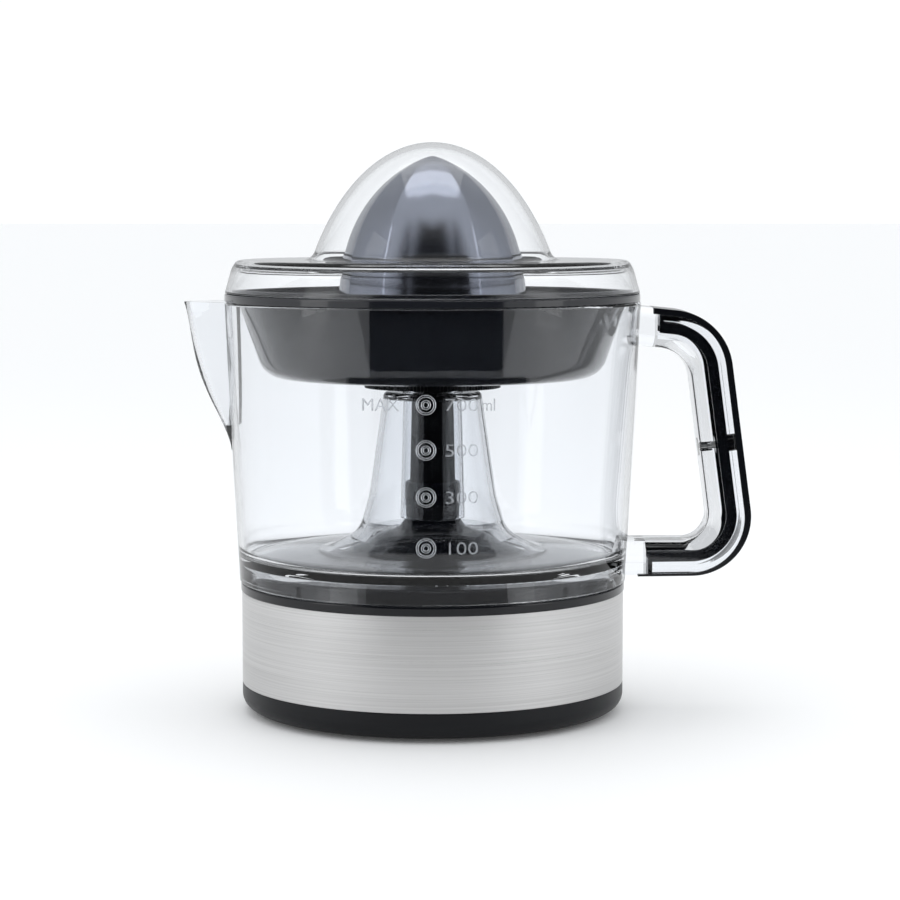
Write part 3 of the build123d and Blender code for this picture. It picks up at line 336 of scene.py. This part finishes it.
def metal(name, colour, roughness, mottle, size, relief=0.2):
    """A metal whose tone and gloss drift over its surface."""
    material, tree, shader = new_material(name, colour, roughness, metallic=1.0)
    place = add_node(tree, "ShaderNodeTexCoord")
    cloud = add_node(tree, "ShaderNodeTexNoise", Scale=size, Detail=5.0)
    tree.links.new(place.outputs["Object"], cloud.inputs["Vector"])
    tone = add_node(tree, "ShaderNodeValToRGB")
    tone.color_ramp.elements[0].position = 0.3
    tone.color_ramp.elements[0].color = (*[c * (1 - mottle) for c in colour], 1)
    tone.color_ramp.elements[1].position = 0.7
    tone.color_ramp.elements[1].color = (*[min(1, c * (1 + mottle)) for c in colour], 1)
    tree.links.new(cloud.outputs["Fac"], tone.inputs["Fac"])
    tree.links.new(tone.outputs["Color"], shader.inputs["Base Color"])
    handled(tree, shader, size, roughness, 0.5 * roughness, relief)
    return material


plated_steel = metal("plated_steel", (0.62, 0.62, 0.60), 0.32, 0.10, 140.0)
finish_nodes(
    plated_steel, "base_screws", "rotor_bracket", "motor_spacers", "motor_screws", "gear_plate",
    "plate_screws", "shaft_clip", "return_spring", "switch_lever", "handle_screw",
)
shaft_steel = metal("shaft_steel", (0.55, 0.55, 0.56), 0.18, 0.05, 200.0)
finish_nodes(shaft_steel, "output_shaft", "rotor_shaft", "gear_axles")
finish_nodes(metal("bush_bronze", (0.62, 0.45, 0.22), 0.42, 0.18, 400.0), "plate_bush", "tower_bush")
finish_nodes(metal("core_iron", (0.20, 0.20, 0.21), 0.5, 0.2, 300.0), "motor_core")
finish_nodes(metal("ferrite", (0.07, 0.07, 0.075), 0.55, 0.15, 500.0), "rotor_magnet")
finish_nodes(metal("copper_wire", (0.72, 0.30, 0.14), 0.25, 0.2, 700.0), "coil_windings")

# ---- nylon gears and wiring -------------------------------------------------------------
# Natural acetal wheels, bobbins, thrust cup and button, a terminal block, and PVC leads.

acetal, acetal_tree, acetal_shader = new_material("natural_acetal", (0.78, 0.77, 0.71), 0.4)
handled(acetal_tree, acetal_shader, 90.0, 0.38, 0.12, 0.15)
acetal_shader.inputs["Subsurface Weight"].default_value = 0.1
acetal_shader.inputs["Subsurface Scale"].default_value = 0.002
finish_nodes(
    acetal, "coil_bobbins", "rotor_pinion", "gear_one", "gear_two", "output_gear", "thrust_cup",
    "switch_button", "terminal_block",
)
lead_blue, lead_tree, lead_shader = new_material("lead_cover", (0.05, 0.09, 0.30), 0.45)
handled(lead_tree, lead_shader, 150.0, 0.45, 0.12, 0.2)
finish_nodes(lead_blue, "supply_leads", "motor_leads")

# ---- clear jug and clear cover ------------------------------------------------------------
# Two injection mouldings in polished clear plastic: the jug with its column, spout and
# handle channel, and the domed dust cover. Wiping leaves faint haze on both.


def clear_plastic(name, tint, size, gloss, spread, bending=1.5):
    """Clear plastic that lamps shine through. Its shadow takes the plastic's tint."""
    material, tree, shader = new_material(name, tint, gloss)
    shader.inputs["Transmission Weight"].default_value = 1.0
    shader.inputs["IOR"].default_value = bending
    handled(tree, shader, size, gloss, spread, 0.0)
    path = add_node(tree, "ShaderNodeLightPath")
    through = add_node(tree, "ShaderNodeBsdfTransparent")
    through.inputs["Color"].default_value = (0.94, 0.95, 0.96, 1.0)
    either = add_node(tree, "ShaderNodeMixShader")
    tree.links.new(path.outputs["Is Shadow Ray"], either.inputs["Fac"])
    tree.links.new(shader.outputs["BSDF"], either.inputs[1])
    tree.links.new(through.outputs["BSDF"], either.inputs[2])
    tree.links.new(either.outputs["Shader"], tree.nodes["Material Output"].inputs["Surface"])
    return material


clear_jug = clear_plastic("clear_jug", (0.956, 0.966, 0.981), 35.0, 0.010, 0.015, 1.40)
finish_nodes(clear_jug, "jug")

# The cover is one finely turned skin, with the dome's foot rounded into the lid.
cover_low, cover_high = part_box("dust_cover")
cover_skin = 0.0018
cover_rim_r = (cover_high.y - cover_low.y) / 2
lid_top_z = 0.1589
lid_edge_r = 0.0686
lid_edge_bend = 0.0016
skirt_top = (0.0704, 0.0029)
rim_bend = 0.0003
dome_semi_r = 0.0491
dome_semi_z = 0.0825
dome_foot_bend = 0.0035
skirt_share = 0.4  # of the skin's thickness, by which the slopes come down inside
edge_share = 0.8  # of the skin's thickness, by which the lid's edge comes in inside
cover_sides = 288
bend_steps = 8
bend_margin = 1.05  # where the straights beside a bend start, in lengths of its cut
dome_margin = 1.1  # where the dome's own points start, in lengths of its foot's cut
dome_steps = 40


def bent(before, corner, after, cut):
    """Points of a soft bend at a corner. One more point on each side keeps the straights flat."""
    corner = Vector(corner)
    towards_start = (Vector(before) - corner).normalized() * cut
    towards_end = (Vector(after) - corner).normalized() * cut
    points = [corner + towards_start * bend_margin]
    for step in range(bend_steps + 1):
        share = step / bend_steps
        points.append(corner + towards_start * (1 - share) ** 2 + towards_end * share**2)
    points.append(corner + towards_end * bend_margin)
    return points


def cover_outline(skin):
    """The cover's outline from rim to top as (radius, height), moved inwards by a skin."""
    centre_z = cover_high.z - dome_semi_z
    semi_r, semi_z = dome_semi_r - skin, dome_semi_z - skin
    lid_z = lid_top_z - skin
    foot_turn = math.asin((lid_z - centre_z) / semi_z)
    foot = (semi_r * math.cos(foot_turn), lid_z)
    rim = (cover_rim_r - skin, cover_low.z)
    over_rim = (cover_rim_r - cover_skin / 2, cover_low.z)
    skirt = (skirt_top[0] - skin, lid_top_z - skirt_top[1] - skin * skirt_share)
    edge = (lid_edge_r - skin * edge_share, lid_z)
    dome = []
    for step in range(1, dome_steps + 1):
        turn = foot_turn + (math.pi / 2 - foot_turn) * step / dome_steps
        dome.append((semi_r * math.cos(turn), centre_z + semi_z * math.sin(turn)))
    dome[-1] = (0.0, dome[-1][1])
    above = [point for point in dome if point[1] > lid_z + dome_margin * dome_foot_bend]
    return [
        *bent(over_rim, rim, skirt, rim_bend), *bent(rim, skirt, edge, lid_edge_bend),
        *bent(skirt, edge, foot, lid_edge_bend), *bent(edge, foot, dome[2], dome_foot_bend), *above,
    ]


def turned_mesh(name, outline, sides):
    """Turns a closed outline of (radius, height) points about the axis; points on it stay single."""
    points = []
    rows = []
    for r, z in outline:
        count = sides if r > 0 else 1
        rows.append([len(points) + side for side in range(count)])
        for side in range(count):
            turn = 2 * math.pi * side / sides
            points.append((r * math.cos(turn), r * math.sin(turn), z))
    faces = []
    for row, above in zip(rows, rows[1:] + rows[:1]):
        for side in range(sides):
            step = (side + 1) % sides
            below = (row[side % len(row)], row[step % len(row)])
            over = (above[step % len(above)], above[side % len(above)])
            corners = tuple(dict.fromkeys(below + over))
            if len(corners) > 2:
                faces.append(corners)
    data = bpy.data.meshes.new(name)
    data.from_pydata(points, [], faces)
    data.update()
    for face in data.polygons:
        face.use_smooth = True
    return data


whole_outline = [*cover_outline(0.0), *reversed(cover_outline(cover_skin))]
cover_mesh = turned_mesh("cover_shell", whole_outline, cover_sides)
clear_cover = clear_plastic("clear_cover", (0.984, 0.988, 0.994), 30.0, 0.010, 0.015, 1.30)
cover_mesh.materials.append(clear_cover)
cover_shell = bpy.data.objects.new("cover_shell", cover_mesh)
bpy.context.scene.collection.objects.link(cover_shell)
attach(cover_shell, "cover")
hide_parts("dust_cover")

# ---- volume marks ---------------------------------------------------------------------------
# Raised on the outside of the jug's front wall by the mould: a double ring at each level,
# with its figure beside it, and the word for the top level.

jug_low, jug_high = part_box("jug")
foot_z = jug_low.z
foot_r = 0.0682
rim_r = 0.0732
wall_slope = (rim_r - foot_r) / (jug_high.z - foot_z)
mark_x = -0.0017
figure_x = 0.0042
mark_relief = 0.00028
mark_sink = 0.00006
cap_height = 0.0042
cap_share = 0.70  # of the font's size
stroke_bevel = 0.00008
stroke_thinning = 0.00016
mark_levels = ((0.1132, "700"), (0.0983, "500"), (0.0828, "300"), (0.0659, "100"))
mark_plastic = clear_plastic("mark_relief", (0.84, 0.86, 0.89), 400.0, 0.12, 0.05)
mark_plastic.node_tree.nodes["Principled BSDF"].inputs["Transmission Weight"].default_value = 0.80


def wall_r(z):
    """Outside radius of the jug wall at a height."""
    return foot_r + wall_slope * (z - foot_z)


def onto_wall(data):
    """Bends a flat mesh, drawn in x and y with its relief in z, round the jug's front wall."""
    for vertex in data.vertices:
        across, height, proud = vertex.co
        r = wall_r(height) + proud
        turn = across / wall_r(height)
        vertex.co = (r * math.sin(turn), -r * math.cos(turn), height)


def raised_text(name, words, left, level, stretch):
    """Lettering in low relief, with its lowest edge half a capital below the level."""
    curve = bpy.data.curves.new(name, "FONT")
    curve.body = words
    curve.size = cap_height / cap_share
    curve.extrude = (mark_relief + mark_sink) / 2
    curve.bevel_depth = stroke_bevel
    curve.offset = -stroke_thinning
    curve.resolution_u = 4
    drawn = bpy.data.objects.new(name, curve)
    bpy.context.scene.collection.objects.link(drawn)
    bpy.context.view_layer.update()
    finished = bpy.context.evaluated_depsgraph_get()
    data = bpy.data.meshes.new_from_object(drawn.evaluated_get(finished))
    bpy.data.objects.remove(drawn)
    middle = (mark_relief - mark_sink) / 2
    for vertex in data.vertices:
        across, height, proud = vertex.co
        vertex.co = (across * stretch + left, height + level - cap_height / 2, proud + middle)
    onto_wall(data)
    data.materials.clear()
    data.materials.append(mark_plastic)
    piece = bpy.data.objects.new(name, data)
    bpy.context.scene.collection.objects.link(piece)
    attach(piece, "jug")
    return piece


for mark_z, mark_words in mark_levels:
    raised_text("mark_" + mark_words, mark_words, figure_x, mark_z, 1.28)
raised_text("mark_top", "MAX", -0.0233, mark_levels[0][0], 1.0)
raised_text("mark_unit", "ml", 0.0164, mark_levels[0][0], 0.85)

# The rings are one small tree: a wide and a narrow ring, each of two thin wires, are
# set on a point at each level.
ring_tree = bpy.data.node_groups.new("mark_rings", "GeometryNodeTree")
ring_tree.interface.new_socket(name="Geometry", in_out="INPUT", socket_type="NodeSocketGeometry")
ring_tree.interface.new_socket(name="Geometry", in_out="OUTPUT", socket_type="NodeSocketGeometry")
ring_radii = {"Outer rim": 0.0032, "Outer lip": 0.0026, "Inner rim": 0.0015, "Inner lip": 0.0009}
ring_wire_r = 0.00015
for ring_input, ring_size in (*ring_radii.items(), ("Wire radius", ring_wire_r)):
    ring_socket = ring_tree.interface.new_socket(
        name=ring_input, in_out="INPUT", socket_type="NodeSocketFloat"
    )
    ring_socket.default_value = ring_size
ring_in = ring_tree.nodes.new("NodeGroupInput")
ring_out = ring_tree.nodes.new("NodeGroupOutput")
ring_pair = ring_tree.nodes.new("GeometryNodeJoinGeometry")
ring_wire = ring_tree.nodes.new("GeometryNodeCurvePrimitiveCircle")
ring_wire.inputs["Resolution"].default_value = 10
ring_tree.links.new(ring_in.outputs["Wire radius"], ring_wire.inputs["Radius"])
for ring_input in ring_radii:
    ring_path = ring_tree.nodes.new("GeometryNodeCurvePrimitiveCircle")
    ring_path.inputs["Resolution"].default_value = 48
    ring_tree.links.new(ring_in.outputs[ring_input], ring_path.inputs["Radius"])
    ring_tube = ring_tree.nodes.new("GeometryNodeCurveToMesh")
    ring_tree.links.new(ring_path.outputs["Curve"], ring_tube.inputs["Curve"])
    ring_tree.links.new(ring_wire.outputs["Curve"], ring_tube.inputs["Profile Curve"])
    ring_tree.links.new(ring_tube.outputs["Mesh"], ring_pair.inputs["Geometry"])
ring_set = ring_tree.nodes.new("GeometryNodeInstanceOnPoints")
ring_tree.links.new(ring_in.outputs["Geometry"], ring_set.inputs["Points"])
ring_tree.links.new(ring_pair.outputs["Geometry"], ring_set.inputs["Instance"])
ring_real = ring_tree.nodes.new("GeometryNodeRealizeInstances")
ring_tree.links.new(ring_set.outputs["Instances"], ring_real.inputs["Geometry"])
ring_coat = ring_tree.nodes.new("GeometryNodeSetMaterial")
ring_coat.inputs["Material"].default_value = mark_plastic
ring_tree.links.new(ring_real.outputs["Geometry"], ring_coat.inputs["Geometry"])
ring_tree.links.new(ring_coat.outputs["Geometry"], ring_out.inputs["Geometry"])


def grown(name, points, tree, settings):
    """Runs a Geometry Nodes tree on a few points and keeps its result as a plain mesh."""
    seed_mesh = bpy.data.meshes.new(name)
    seed_mesh.from_pydata(points, [], [])
    piece = bpy.data.objects.new(name, seed_mesh)
    bpy.context.scene.collection.objects.link(piece)
    growth = piece.modifiers.new("growth", "NODES")
    growth.node_group = tree
    for item in tree.interface.items_tree:
        if item.in_out == "INPUT" and item.name in settings:
            growth[item.identifier] = settings[item.name]
    bpy.context.view_layer.update()
    finished = bpy.context.evaluated_depsgraph_get()
    made = bpy.data.meshes.new_from_object(piece.evaluated_get(finished))
    piece.modifiers.clear()
    piece.data = made
    return piece


mark_rings = grown(
    "mark_rings", [(mark_x, z, 0.0) for z, _ in mark_levels], ring_tree,
    {**ring_radii, "Wire radius": ring_wire_r},
)
onto_wall(mark_rings.data)
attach(mark_rings, "jug")

# ---- strainer -------------------------------------------------------------------------------
# Gloss polypropylene, so dark a grey that it looks black, in one moulding: rim ring,
# sloping side, and a floor with a hub, windows and fine slits.

strainer_grey, strainer_tree, strainer_shader = new_material("strainer_grey", (0.010, 0.011, 0.014), 0.10)
handled(strainer_tree, strainer_shader, 40.0, 0.10, 0.06, 0.0)
strainer_shader.inputs["Coat Weight"].default_value = 0.25
strainer_shader.inputs["Coat Roughness"].default_value = 0.06
finish_nodes(strainer_grey, "strainer")

# ---- reamer ---------------------------------------------------------------------------------
# A hollow plastic cone plated in smoked chrome. Six sharp ribs run from the rim to the
# tip, a lower one lies between each two, and the flutes between them are hollow-ground.

cone_low, cone_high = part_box("reamer_cone")
cone_r = (cone_high.y - cone_low.y) / 2
cone_height = cone_high.z - cone_low.z
rib_count = 12
flute_depth = 0.022
low_rib_drop = 0.006
cone_sides = 360
cone_rows = 100
cone_wall = 0.0022
inner_tip_r = 0.0004
tip_share = 0.9985
crown_power = 3.5
shoulder_power = 0.75
flute_power = 1.6
row_power = 0.9
tip_crowding = 1.4  # over 1, so the rows stand closer towards the tip


def cone_profile(rise):
    """Radius of the rib line at a share of the height, 0 at the rim and 1 at the tip."""
    return (1 - (rise * tip_share) ** crown_power) ** shoulder_power


def rib_line(turn):
    """How far out the surface lies at an angle: 1 on a main rib, less on a low rib or in a flute."""
    place = (turn * rib_count / (2 * math.pi)) % 2.0
    across = abs(2 * (place % 1.0) - 1)
    low_rib = 1 - abs(place - 1)
    return 1 - flute_depth * (1 - across**flute_power) - low_rib_drop * low_rib


cone_points = []
for outside in (True, False):
    for row in range(cone_rows + 1):
        rise = 1 - (1 - (row / cone_rows) ** row_power) ** tip_crowding
        for side in range(cone_sides):
            turn = 2 * math.pi * side / cone_sides
            r = cone_r * cone_profile(rise)
            z = cone_low.z + cone_height * rise
            if outside:
                r *= rib_line(turn)
            else:
                r = max(inner_tip_r, r * (1 - flute_depth - low_rib_drop) - cone_wall)
                z -= cone_wall * rise
            cone_points.append((r * math.sin(turn), -r * math.cos(turn), z))
inner_start = len(cone_points) // 2
cone_faces = []
for first, flip in ((0, False), (inner_start, True)):
    for row in range(cone_rows):
        for side in range(cone_sides):
            a = first + row * cone_sides + side
            b = first + row * cone_sides + (side + 1) % cone_sides
            face = (a, b, b + cone_sides, a + cone_sides)
            cone_faces.append(face[::-1] if flip else face)
for side in range(cone_sides):
    step = (side + 1) % cone_sides
    cone_faces.append((side, inner_start + side, inner_start + step, step))
top_row = cone_rows * cone_sides
cone_faces.append(tuple(top_row + side for side in range(cone_sides)))
cone_faces.append(tuple(inner_start + top_row + side for side in reversed(range(cone_sides))))
cone_mesh = bpy.data.meshes.new("reamer_shell")
cone_mesh.from_pydata(cone_points, [], cone_faces)
cone_mesh.update()
for face in cone_mesh.polygons:
    face.use_smooth = True
reamer_shell = bpy.data.objects.new("reamer_shell", cone_mesh)
bpy.context.scene.collection.objects.link(reamer_shell)
smoked_chrome = metal("smoked_chrome", (0.22, 0.235, 0.28), 0.12, 0.04, 30.0, 0.0)
cone_mesh.materials.append(smoked_chrome)
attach(reamer_shell, "reamer")
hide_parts("reamer_cone")
